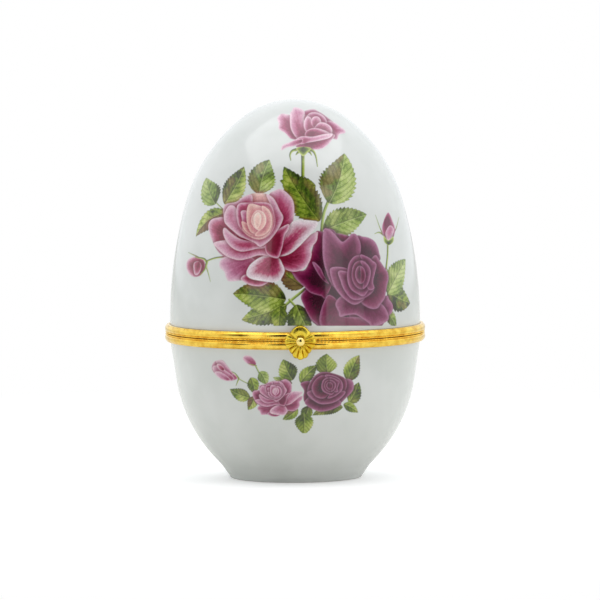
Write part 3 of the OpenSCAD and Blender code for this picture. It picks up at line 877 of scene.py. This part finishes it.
DARK_ROSE = [
    # ground that closes the gaps between the petals
    ([(4, 62), (8.4, 70), (18, 68.6), (23.6, 62), (25.8, 52), (24, 43), (8, 43), (3, 50)],
     (14, 55), "wine", 4.0, 0.1),
    # back petals
    ([(17.6, 69.4), (19.6, 69.4), (21.2, 69.1), (22.8, 68.2), (23.8, 66.6), (24.3, 64.8),
      (24.4, 62.4), (20, 60), (16, 64)], (19.4, 62), "mauve", 1.3, 0.5),
    ([(25.8, 52.4), (27.2, 51.2), (28.2, 49.6), (28.1, 47.8), (27, 46.4), (26, 45), (24.6, 43.4),
      (20, 43), (16, 45), (17, 50)], (20, 51), "mauve", 1.0, 0.6),
    ([(2.2, 53.2), (1.7, 51.6), (2.6, 49.4), (3.6, 47.3), (4.8, 45.4), (6.2, 44.2), (8, 43),
      (14, 43), (13, 50), (8, 54), (4, 54.4)], (9, 53.6), "wine", 1.6, 0.3),
    ([(5.2, 66.6), (5.9, 69), (6.2, 71), (8.4, 70.8), (10, 71.7), (12, 69.6), (12, 60), (9, 52),
      (7.6, 52.3), (5.6, 52.8), (4.1, 53.5), (2.6, 55), (0.8, 56.6), (-0.4, 58.2), (-1, 60),
      (3, 60)], (11, 58), "wine", 1.9, 0.3),
    # fold that catches the light on the left
    ([(5, 61.8), (5.8, 61.9), (7.4, 60.2), (8.4, 58), (9.8, 55.8), (8.2, 56.8), (6.6, 58.8)],
     (8.6, 57.2), "mauve", 0.9, 0.3),
    # tall petals left of the heart
    ([(8.2, 71), (9.7, 71.6), (11.2, 70.4), (12.7, 68.7), (13.8, 67.9), (15.3, 69), (16.2, 70.1),
      (17.4, 70.2), (18.3, 69), (19, 66), (18, 58), (18, 50), (15.6, 50.4), (13, 53),
      (10.6, 55.6), (9, 59.4), (8, 64)], (18, 57.4), "mauve", 1.5, 0.45),
    # bottom petal behind the lip
    ([(9, 52), (12, 51), (13, 46.6), (19, 46), (22.4, 43.4), (8, 43)], (13.4, 50), "wine",
     0.95, 0.2),
    ([(11.7, 50.2), (12.6, 47.6), (13, 46.3), (15, 46.7), (17.4, 46.9), (19.4, 45.8),
      (21.2, 44.5), (22.6, 43.4), (27, 45.6), (25, 50), (19, 51.6), (14, 52.4)],
     (19, 52.4), "mauve", 1.0, 0.7),
    # right petals
    ([(23, 64), (24.5, 62.4), (25.6, 60.8), (26.7, 59.2), (27, 57.3), (26.5, 55.1), (26.2, 53),
      (25.8, 51.4), (24.7, 49.9), (23.9, 48.8), (22.4, 48.5), (20.5, 49.2), (18.9, 50.6),
      (17, 54), (20, 60)], (20.4, 57.4), "wine", 1.05, 0.7),
    # sweeping lips below the heart, from outside in
    ([(10.4, 60.4), (10.6, 57), (11.8, 54.2), (14, 51.6), (16.8, 49.8), (18.9, 50.4),
      (20.2, 52.2), (18, 56), (15.4, 60)], (18, 57.6), "mauve", 1.1, 0.35),
    ([(13, 59.6), (13.2, 56.4), (14.4, 53.6), (16.4, 51.4), (18.6, 51.2), (21, 52.2),
      (22.9, 54.4), (21, 57)], (18.6, 57.8), "mauve", 1.2, 0.35),
    # heart, petals in turn from the left and from the right
    ([(15.3, 60.5), (15.9, 62.3), (17.2, 63.7), (18.8, 64), (20.6, 63.6), (22.2, 62.5),
      (22.6, 58.8), (22.4, 55), (21.2, 53.8), (19.8, 52.2), (17.8, 53), (16, 54.4), (15.1, 57)],
     (20.6, 59.6), "mauve", 1.4, 0.4),
    ([(18.8, 64), (20.8, 63.6), (22.3, 62.5), (23.5, 61.3), (23, 58.7), (22.5, 56.3), (22.9, 54.5),
      (21.4, 54), (20.4, 56), (20.4, 60)], (18.8, 58.6), "mauve", 1.2, 0.4),
    ([(16.5, 60), (17.3, 61.8), (19, 62.5), (20.6, 61.8), (20.8, 58), (20.4, 54.8), (19, 54.2),
      (17.4, 55.2), (16.4, 57.4)], (20.2, 59.4), "wine", 1.3, 0.35),
    ([(18.9, 62.4), (20.6, 61.7), (21.8, 59.8), (21.6, 57.2), (20.8, 55.2), (19.6, 54.4),
      (19.8, 57), (19.6, 60)], (18.2, 57.8), "mauve", 1.1, 0.3),
    ([(17.5, 59.6), (18.3, 60.9), (19.4, 60.6), (19.6, 58.4), (19.2, 55.9), (18.2, 56.2),
      (17.4, 57.8)], (19.6, 58.6), "mauve", 1.2, 0.3),
    ([(18.9, 60.7), (19.9, 60.2), (20.4, 58.4), (20, 56.6), (19.1, 55.9), (19, 58.4)],
     (18.6, 57.6), "wine", 1.1, 0.25),
]

TOP_ROSE = [
    # back rim and the petals that fall to the right
    ([(2.4, 104), (2.8, 105.6), (5.3, 106.2), (7, 105.4), (8.3, 104.6), (10.4, 103), (11.6, 101.6),
      (9, 99.6), (4, 100)], (5, 101), "soft", 1.3, 0.3),
    ([(8, 101.6), (9.6, 102.8), (11.6, 102.2), (13, 101.2), (14.3, 100.2), (14.5, 99.3),
      (12.8, 98.8), (12.2, 97.4), (11.1, 97.6), (9.6, 98.2)], (8.6, 100), "soft", 0.9, 0.3),
    # left petals
    ([(-5.1, 103.6), (-4, 104.8), (-2.6, 104.7), (-1, 104), (0.8, 100), (0.8, 97.6), (-1.2, 97.6),
      (-2.8, 99.2), (-4.6, 100.4), (-4.7, 102)], (0.8, 99), "soft", 1.2, 0.35),
    # bowl of the rose
    ([(0.2, 95.6), (2.4, 94.7), (4.8, 94.4), (7.6, 94.7), (9.4, 95.8), (10.6, 97.2), (11.4, 98.8),
      (8, 99.6), (3, 99)], (3.2, 97.4), "soft", 1.4, 0.35),
    ([(-1.4, 104.6), (-0.9, 105.6), (-0.2, 106.7), (1.6, 106.3), (2.8, 105.2), (2.6, 102.6),
      (3.8, 100), (3, 98), (0.8, 97.6), (-1.2, 100.6)], (2.4, 98.6), "soft", 0.75, 0.5),
    # swirl of the heart
    ([(3.2, 103.4), (4.2, 105), (6.2, 105.2), (8.2, 104.2), (9.2, 102.4), (7.6, 101.4),
      (5, 101.4)], (6.2, 100.8), "soft", 1.0, 0.3),
    ([(2.8, 100.4), (2.6, 102.4), (3.4, 104), (4.6, 103.6), (5.2, 101.8), (5.4, 99.8), (4, 99)],
     (5.6, 100.4), "soft", 0.95, 0.35),
    ([(4.7, 102.2), (5.2, 103.8), (6.6, 104), (7.5, 102.8), (7, 101.2), (5.6, 101)],
     (5.4, 101.2), "pink", 0.75, 0.3),
    ([(5.2, 99.4), (6.6, 102), (8.6, 102.2), (10.4, 101), (10.6, 99.2), (8, 98.2)],
     (6, 99), "soft", 1.2, 0.35),
    ([(3, 98.4), (3.4, 99.9), (5.4, 100.7), (8, 100.2), (10, 99.2), (9, 98.3), (5.6, 97.6)],
     (4.4, 98.4), "pink", 1.3, 0.3),
    # lower lip and the curl at its left end
    ([(0.2, 97.3), (2, 98.3), (5, 98.2), (8.2, 98.9), (10.8, 99.1), (10, 97.9), (7, 97.1),
      (3.6, 96.5), (1.6, 96.1)], (3, 96.2), "soft", 0.7, 0.3),
    ([(-3.9, 94.3), (-3.6, 95.7), (-1.8, 96.5), (0, 97.3), (2.2, 97.5), (1.8, 96.3),
      (-0.2, 95.5), (-2.2, 95.1)], (1.8, 96.9), "soft", 0.8, 0.3),
]

LOW_DARK_ROSE = [
    ([(1.6, 27), (4.2, 27.6), (6, 25), (5, 21), (2.8, 21.6), (2.4, 23.4), (2.6, 25)],
     (6.4, 24), "wine", 1.3, 0.3),
    ([(12, 27), (14.6, 28.4), (16.7, 27.6), (16.8, 25.2), (14.8, 22.9), (12.8, 21.2), (10.6, 22)],
     (10, 25), "mauve", 1.1, 0.5),
    ([(2.8, 21.6), (4.4, 20), (6.8, 19), (9, 19.1), (11, 19.7), (13.4, 21.4), (10, 24), (5, 23.6)],
     (8, 23.4), "mauve", 1.4, 0.5),
    ([(3.6, 25.4), (5, 28.4), (6.8, 30), (9.2, 30.3), (12.2, 29.6), (14.5, 28.4), (14.9, 26),
      (13.4, 23.6), (10.4, 22), (7, 21.8), (4.2, 22.8)], (10.4, 25.4), "wine", 1.5, 0.35),
    ([(3.6, 24.6), (4.6, 22.8), (7, 21.2), (10, 21.2), (12.8, 22.4), (14.6, 24.6), (12, 25),
      (8, 25.6)], (9.6, 25.6), "mauve", 1.2, 0.35),
    ([(4.8, 25.6), (5.8, 28), (8, 29.4), (10, 28), (10, 25), (8.6, 22.8), (6, 23.2)],
     (10, 26), "wine", 1.5, 0.35),
    ([(8.6, 29.3), (11.4, 29.2), (13.4, 27.8), (13.8, 25.6), (12, 23.6), (9.4, 22.8), (11, 26)],
     (9.4, 25.8), "mauve", 1.4, 0.35),
]

SIDE_BUD = [
    ([(-23.7, 32.8), (-22.6, 33.6), (-20.9, 33.7), (-19.4, 32), (-17.8, 30), (-16.5, 28.6),
      (-18, 27.8), (-20, 27.8), (-22.2, 29), (-23.9, 31)], (-17.4, 28.8), "soft", 1.1, 0.35),
    ([(-22.8, 33.4), (-21, 33.6), (-19.4, 31.8), (-18, 29.6), (-19, 29.6), (-21.2, 31.2)],
     (-18.4, 29.8), "soft", 0.9, 0.3),
    ([(-23.8, 31.6), (-22.4, 32.2), (-20.4, 31), (-17.6, 28.8), (-18.4, 27.9), (-20.6, 28),
      (-22.6, 29.4)], (-18.4, 28.4), "soft", 1.1, 0.3),
    ([(-23.2, 30.2), (-21.6, 30.4), (-19.4, 29), (-18.6, 27.9), (-20.6, 28), (-22.4, 29)],
     (-19.4, 28.2), "soft", 0.9, 0.3),
    ([(-22.6, 32.4), (-21.6, 32.6), (-20.4, 31.4), (-20.8, 30.6), (-22, 31.2)],
     (-20.6, 31), "pink", 1.0, 0.3),
]


def paint_lid():
    c = Canvas((-32.4, 43.6), (34.8, 107.4))
    c.begin("upper_stems")
    stem(c, [(2.2, 95), (2.3, 91), (2.3, 87)], 1.0, GREEN)
    stem(c, [(9.8, 80), (8.3, 76), (7.6, 70.4)], 0.9)
    stem(c, [(-20.5, 77), (-22.8, 79.2)], 0.4)
    stem(c, [(26.8, 68.4), (26.7, 64), (26.2, 59.4)], 0.7, GREEN)
    stem(c, [(-19.6, 63.7), (-23, 63.2), (-25.8, 62.2)], 0.5, GREEN)
    c.begin("upper_leaves_left")
    leaves(
        c,
        ((-22.9, 78.8), (-25.6, 86.4), 8.2, 0.12, GREEN_PALE, 1, 0.0, 5),
        ((-20.4, 78.8), (-14.7, 89.6), 7.2, -0.08, GREEN, -1, 0.55, 7),
        ((-10.4, 81.6), (-7.4, 91.6), 8.6, 0.1, GREEN_PALE, -1, 0.5, 6),
        ((-19.6, 76.2), (-28.6, 69.4), 5.6, -0.2, GREEN, -1, 0.8, 6),
    )
    c.begin("upper_leaves_right")
    leaves(
        c,
        ((6, 84), (-4.4, 85.6), 5.4, 0.1, GREEN_DEEP, 1, 0.2, 5),
        ((7.2, 73.9), (-3.2, 89.6), 9.8, 0.06, GREEN_DEEP, 1, 0.45, 8),
        ((9.7, 79.1), (14.2, 93.4), 11.8, -0.12, GREEN_PALE, -1, 0.6, 7),
        ((8.2, 71.2), (20.7, 75.8), 8.8, 0.05, GREEN_PALE, -1, 0.15, 7),
        ((26.6, 53.6), (33.2, 50.2), 8.0, -0.1, GREEN, 1, 0.5, 5),
        ((26.7, 52.8), (31.9, 62.9), 9.0, 0.04, GREEN_PALE, -1, 0.1, 7),
        ((26.4, 47.6), (29.2, 43), 4.0, 0.1, GREEN_PALE, 1, 0.0, 4),
    )
    c.begin("upper_leaves_low")
    leaf(c, (2.6, 55), (-4.4, 60.6), 6.4, 0.1, GREEN_DEEP, -1, 0.7, 5)
    stem(c, [(-5, 47.6), (-1.4, 50.8), (2.8, 54.2)], 0.8)
    stem(c, [(-1.6, 51.2), (0.2, 49.2)], 0.7)
    leaves(
        c,
        ((-2.4, 49.6), (-15.4, 45.4), 7.4, 0.06, GREEN, -1, 0.2, 7),
        ((-4.2, 49.4), (-4.8, 41.6), 5.0, 0.0, GREEN_DEEP, -1, 0.1, 5),
        ((0.6, 49.8), (-1.4, 40.6), 5.4, 0.12, GREEN_DEEP, 1, 0.1, 6),
        ((0.4, 49.8), (4.8, 41.2), 5.0, -0.05, GREEN, -1, 0.0, 6),
        ((-2.6, 51.2), (-17.9, 52.9), 9.6, -0.05, GREEN, 1, 0.5, 8),
    )
    c.begin("dark_rose")
    rose(c, DARK_ROSE)
    c.begin("pink_rose")
    rose(c, BIG_ROSE)
    c.begin("top_rose")
    rose(c, TOP_ROSE, dye={"soft": "top", "pink": "top"})
    stems(c, 1.0, GREEN, 0.25,
          [(2, 94.8), (-0.6, 94.2), (-1.4, 93), (-1.2, 91.4)],
          [(2.6, 94.6), (5, 94.2), (6, 92.6), (6.5, 89.6)],
          [(2.2, 94.6), (0.8, 93.6), (0.3, 93)], [(2.6, 94.6), (4.2, 93.8), (4.8, 92.9)])
    petal(c, [(0.4, 94.9), (2.4, 95.3), (4.6, 94.9), (3.6, 93.6), (2.4, 92.6), (1.2, 93.6)],
          (2.4, 95.2), GREEN, 1.0, 0.2)
    c.begin("left_bud")
    stems(c, 0.6, GREEN_PALE, 0.3, [(-26.4, 62.6), (-28.6, 63.8), (-30.8, 64.8)],
          [(-25.8, 61.4), (-25, 58.8), (-24.4, 56.4)])
    petal(c, [(-31.4, 61), (-30.8, 62.8), (-28.8, 63.6), (-26.6, 62.9), (-25.9, 61), (-26.7, 58.6),
              (-28.8, 57.7), (-30.7, 58.8)], (-26.8, 61), PINK, 1.9, 0.5)
    petal(c, [(-29.2, 61.6), (-27.8, 62.2), (-27, 60.8), (-27.8, 58.6), (-29, 58.6)],
          (-27.6, 62), PINK, 1.2, 0.5)
    stems(c, 0.9, GREEN, 0.3, [(-25.4, 62), (-26.4, 63), (-28.8, 63.5)],
          [(-25.4, 62), (-26, 60), (-27.4, 58.2)])
    c.begin("right_bud")
    stems(c, 0.6, GREEN_PALE, 0.3, [(26.6, 68.4), (24.8, 71.2), (23.2, 75.6)],
          [(27.2, 68.4), (29, 71.4), (30, 75)], [(25.4, 70), (24.2, 70.6), (23, 70.2)])
    petal(c, [(25.1, 71.6), (25.6, 74), (26.9, 76.4), (28.2, 73.9), (28.9, 71.2), (28.2, 68.7),
              (27, 67.6), (25.7, 69)], (26.2, 74), ROSE_COLOURS["deep"], 1.5, 0.5)
    petal(c, [(26.2, 70.8), (27.4, 72.6), (28.5, 71.6), (28, 69.2), (27, 68.2), (26.3, 69.2)],
          (26.8, 73.6), PINK_SOFT, 1.1, 0.4)
    petal(c, [(25.6, 69.6), (26.9, 68.3), (28.3, 69.4), (28.4, 68), (27.1, 66.9), (25.8, 67.8)],
          (27, 67.4), GREEN, 0.9, 0.3)
    return c


def paint_base():
    c = Canvas((-24.6, 12.6), (20.8, 36.0))
    c.begin("lower_stems")
    stem(c, [(-16.6, 28.6), (-14.4, 27.4), (-12.6, 26.6)], 0.3)
    stem(c, [(-11.4, 32.2), (-10.4, 30.2)], 0.45)
    c.begin("lower_leaves_left")
    leaves(
        c,
        ((-10.2, 30.4), (-8.2, 26.6), 3.6, 0.1, GREEN_PALE, 1, 0.0, 4),
        ((-12.8, 28.7), (-11.6, 23.8), 3.8, 0.1, GREEN_LOW, 1, 0.2, 4),
        ((-12.9, 23), (-18.8, 25.4), 3.9, 0.1, GREEN_LOW, 1, 0.3, 5),
        ((-11.6, 23.4), (-13.6, 19.4), 3.4, 0.1, GREEN_LOW, 1, 0.8, 4),
        ((-0.8, 27), (-6.4, 28.8), 2.6, 0.05, GREEN_PALE, 1, 0.0, 5),
        ((-0.6, 28), (-3.4, 34), 5.8, 0.08, GREEN_LOW, 1, 0.2, 5),
    )
    c.begin("lower_leaves_right")
    leaves(
        c,
        ((1.6, 27.2), (6.4, 32.2), 4.2, 0.08, GREEN_LOW, 1, 0.0, 5),
        ((9.4, 29.8), (9.2, 35.6), 6.8, 0.1, GREEN_LOW, -1, 0.1, 5),
        ((15.4, 27.6), (18.6, 35.2), 5.4, 0.1, GREEN_LOW, 1, 0.6, 6),
        ((15.6, 21.4), (18.4, 27.4), 4.8, -0.1, GREEN_LOW, 1, 0.3, 5),
        ((14, 21), (18.2, 18.6), 2.9, 0.1, GREEN_LOW, 1, 0.1, 4),
        ((13.8, 20.2), (5, 17.8), 3.6, -0.14, GREEN_LOW, -1, 0.1, 7),
    )
    c.begin("lower_leaves_low")
    leaves(
        c,
        ((0.8, 19.8), (-3.6, 16.6), 3.0, 0.1, GREEN_LOW, 1, 0.7, 4),
        ((4, 20.6), (2, 16.2), 3.6, 0.1, GREEN_LOW, 1, 0.1, 4),
        ((2.4, 18.4), (2.6, 12.2), 5.6, 0.05, GREEN_LOW, 1, 0.1, 5),
    )
    c.begin("lower_dark_rose")
    rose(c, LOW_DARK_ROSE)
    rose(c, DARK_ROSE[-6:], (19.2, 58), (10.2, 26.2), (0.62, 0.42))
    c.begin("lower_pink_rose")
    rose(c, BIG_ROSE, (-10, 74.5), (-5.4, 24.9), (0.46, 0.385),
         {"pink": "deep", "soft": "deep", "peach": "deep", "heart": "soft", "pale": "soft"})
    c.begin("lower_buds")
    rose(c, SIDE_BUD)
    stems(c, 0.5, GREEN_LOW, 0.4, [(-16.2, 28.4), (-17.2, 29.8), (-18.2, 30.4)],
          [(-16.2, 28.4), (-17, 26.4)])
    petal(c, [(-15, 34), (-14.6, 35), (-13, 35), (-11.6, 33.8), (-11.2, 32.6), (-12, 32),
              (-13.6, 32.6)], (-11.6, 32.4), ROSE_COLOURS["soft"], 1.5, 0.3)
    stem(c, [(-11.2, 32.1), (-12.2, 32.4), (-13.4, 32.7)], 0.4, GREEN_LOW, 0.4)
    return c


# ---------------------------------------------------------------- prints on the glaze

LIFT = 0.02              # height of a print above the shell
SETTLE_STEPS = 16        # tries after which the height of a meeting point stands still
BARE = 0.02              # cover under which a print has no mesh


def on_glaze(a, b, radius):
    """Points where sight lines from the front meet a glazed surface, and which do meet it."""
    target = AIM_POINT + (a - VIEW_AIM[0])[:, None] * RIGHT + (b - VIEW_AIM[1])[:, None] * UP
    way = target - EYE
    way /= np.linalg.norm(way, axis=1)[:, None]
    level = (way[:, :2] ** 2).sum(1)
    half = way[:, :2] @ EYE[:2]
    z = target[:, 2]
    for _ in range(SETTLE_STEPS):
        reach = half**2 - level * (EYE[:2] @ EYE[:2] - radius(z, -LIFT) ** 2)
        points = EYE + way * ((-half - np.sqrt(np.maximum(reach, 0))) / level)[:, None]
        z = points[:, 2]
    return points, reach > 0


def spread(values, weights):
    """Average of each place's neighbours, by weight."""
    total, weight = np.zeros_like(values), np.zeros_like(weights)
    for i in (-1, 0, 1):
        for j in (-1, 0, 1):
            w = np.roll(weights, (i, j), (0, 1))
            total += np.roll(values, (i, j), (0, 1)) * w[..., None]
            weight += w
    return total / np.maximum(weight, 1e-9)[..., None]


def add_prints(canvas, body, radius):
    """One piece for each motif of a painted sheet, laid on the glaze."""
    blocks = (canvas.rows, FINE, canvas.cols, FINE)
    cover = canvas.cover.reshape(blocks).mean((1, 3))
    inked = (canvas.ink * canvas.cover[..., None]).reshape(*blocks, 3).mean((1, 3))
    ink = inked / np.maximum(cover, 1e-6)[..., None]
    ink = np.where(cover[..., None] > BARE, ink, spread(ink, cover))
    motif = canvas.motif.reshape(blocks).max((1, 3)) * (cover > BARE)

    u = canvas.low[0] + (np.arange(canvas.cols) + 0.5) * PITCH
    b = canvas.low[1] + (np.arange(canvas.rows) + 0.5) * PITCH
    u, b = np.meshgrid(u, b)
    points, hit = on_glaze(UNROLL_R * np.sin(u.ravel() / UNROLL_R), b.ravel(), radius)

    number = np.arange(cover.size).reshape(cover.shape)
    corners = np.stack([number[:-1, :-1], number[:-1, 1:], number[1:, 1:], number[1:, :-1]], -1)
    corners = corners.reshape(-1, 4)
    owner = motif.ravel()[corners].max(1) * hit[corners].all(1)
    for k, name in enumerate(canvas.names[1:], 1):
        quads = corners[owner == k]
        if not len(quads):
            continue
        used, faces = np.unique(quads, return_inverse=True)
        piece = new_piece(name, points[used], faces.reshape(-1, 4), body,
                          rose_print)
        colours = piece.data.attributes.new("ink", "FLOAT_COLOR", "POINT")
        rgba = np.ones((len(used), 4))
        rgba[:, :3] = ink.reshape(-1, 3)[used]
        colours.data.foreach_set("color", rgba.ravel())
        covers = piece.data.attributes.new("cover", "FLOAT", "POINT")
        covers.data.foreach_set("value", cover.ravel()[used])


add_prints(paint_lid(), "lid", lid_radius)
add_prints(paint_base(), "base", base_radius)


# ---------------------------------------------------------------- floor and light

FLOOR_R = 5000           # radius of the floor
FADE_FROM, FADE_TO = 0.06, 0.3           # metres from the axis over which the floor turns white
ROOM_LIGHT, ROOM_FRONT = 1.05, 0.05      # the room's light, and that from the front
FRONT_TO, ROOM_FROM = -0.62, -0.2        # y of directions between which it brightens
AIM_Z = 0.055            # height that the lights are turned to, metres
NEAR_FLOOR = {"Base Color": (0.8, 0.8, 0.8, 1), "Roughness": 0.9, "Specular IOR Level": 0.1,
              "Emission Color": (1, 1, 1, 1), "Emission Strength": 0.34}
TABLE_TOP = {"Base Color": (0.72, 0.72, 0.69, 1), "Roughness": 1.0, "Specular IOR Level": 0.0,
             "Emission Color": (1, 1, 0.97, 1), "Emission Strength": 0.1}


def make_floor():
    """A pale round floor that fades to the white of the surroundings. In reflections it is
    darker, like the table top that such a box stands on."""
    rings = [(r, 0) for r in (0, 80, 200, 500, 1500, FLOOR_R)]
    points, faces = lathe(rings, 64, closed=False)
    mesh = bpy.data.meshes.new("floor")
    mesh.from_pydata((points * MM).tolist(), [], faces.tolist())
    m, g = new_material("pale_floor")
    g.feed(g.shader, NEAR_FLOOR)
    far = g.add("Emission", "Emission", {"Strength": 1.0})
    distance = g.add("VectorMath", "Value", {0: g.place()}, operation="LENGTH")
    fade = g.add("MapRange", "Result",
                 {"Value": distance, "From Min": FADE_FROM, "From Max": FADE_TO})
    g.show(g.add("BsdfPrincipled", "BSDF", TABLE_TOP),
           g.mix(fade, g.shader.outputs["BSDF"], far), "Material Output")
    mesh.materials.append(m)
    floor = bpy.data.objects.new("floor", mesh)
    bpy.context.scene.collection.objects.link(floor)
    floor.location.z = -0.0001


def make_world():
    """White to the eye. As a light it is a pale room, dark towards the front (-Y), where the
    photographer would stand."""
    world = bpy.data.worlds.new("studio")
    bpy.context.scene.world = world
    g = Graph(world, "Background")
    g.feed(g.shader, {"Color": (1, 1, 1, 1), "Strength": 1.0})
    depth = g.add("SeparateXYZ", "Y", {0: g.place("Generated")})
    light = g.add("MapRange", "Result", {
        "Value": depth, "From Min": FRONT_TO, "From Max": ROOM_FROM,
        "To Min": ROOM_FRONT, "To Max": ROOM_LIGHT,
    }, interpolation_type="SMOOTHSTEP")
    room = g.add("Background", "Background", {"Color": (0.95, 0.98, 1.0, 1), "Strength": light})
    g.show(room, g.shader.outputs["Background"], "World Output")


def softbox(name, azimuth, elevation, distance, width, height, radiance):
    """A rectangular light that faces the box. Angles in degrees, lengths in metres."""
    data = bpy.data.lights.new(name, "AREA")
    data.shape, data.size, data.size_y = "RECTANGLE", width, height
    data.energy = radiance * math.pi * width * height
    light = bpy.data.objects.new(name, data)
    bpy.context.scene.collection.objects.link(light)
    a, e = math.radians(azimuth), math.radians(elevation)
    back = Vector((math.sin(a) * math.cos(e), -math.cos(a) * math.cos(e), math.sin(e)))
    light.location = Vector((0, 0, AIM_Z)) + back * distance
    light.rotation_mode = "QUATERNION"
    light.rotation_quaternion = back.to_track_quat("Z", "Y")


make_floor()
make_world()
softbox("key_right", 35, 12, 0.8, 0.26, 0.9, 1.15)
softbox("key_right_soft", 54, 12, 0.85, 0.27, 0.9, 0.75)
softbox("key_left", -35, 12, 0.8, 0.28, 0.9, 1.0)
softbox("top", 0, 86, 1.0, 1.6, 1.0, 1.15)
bpy.context.scene.view_settings.view_transform = "Standard"
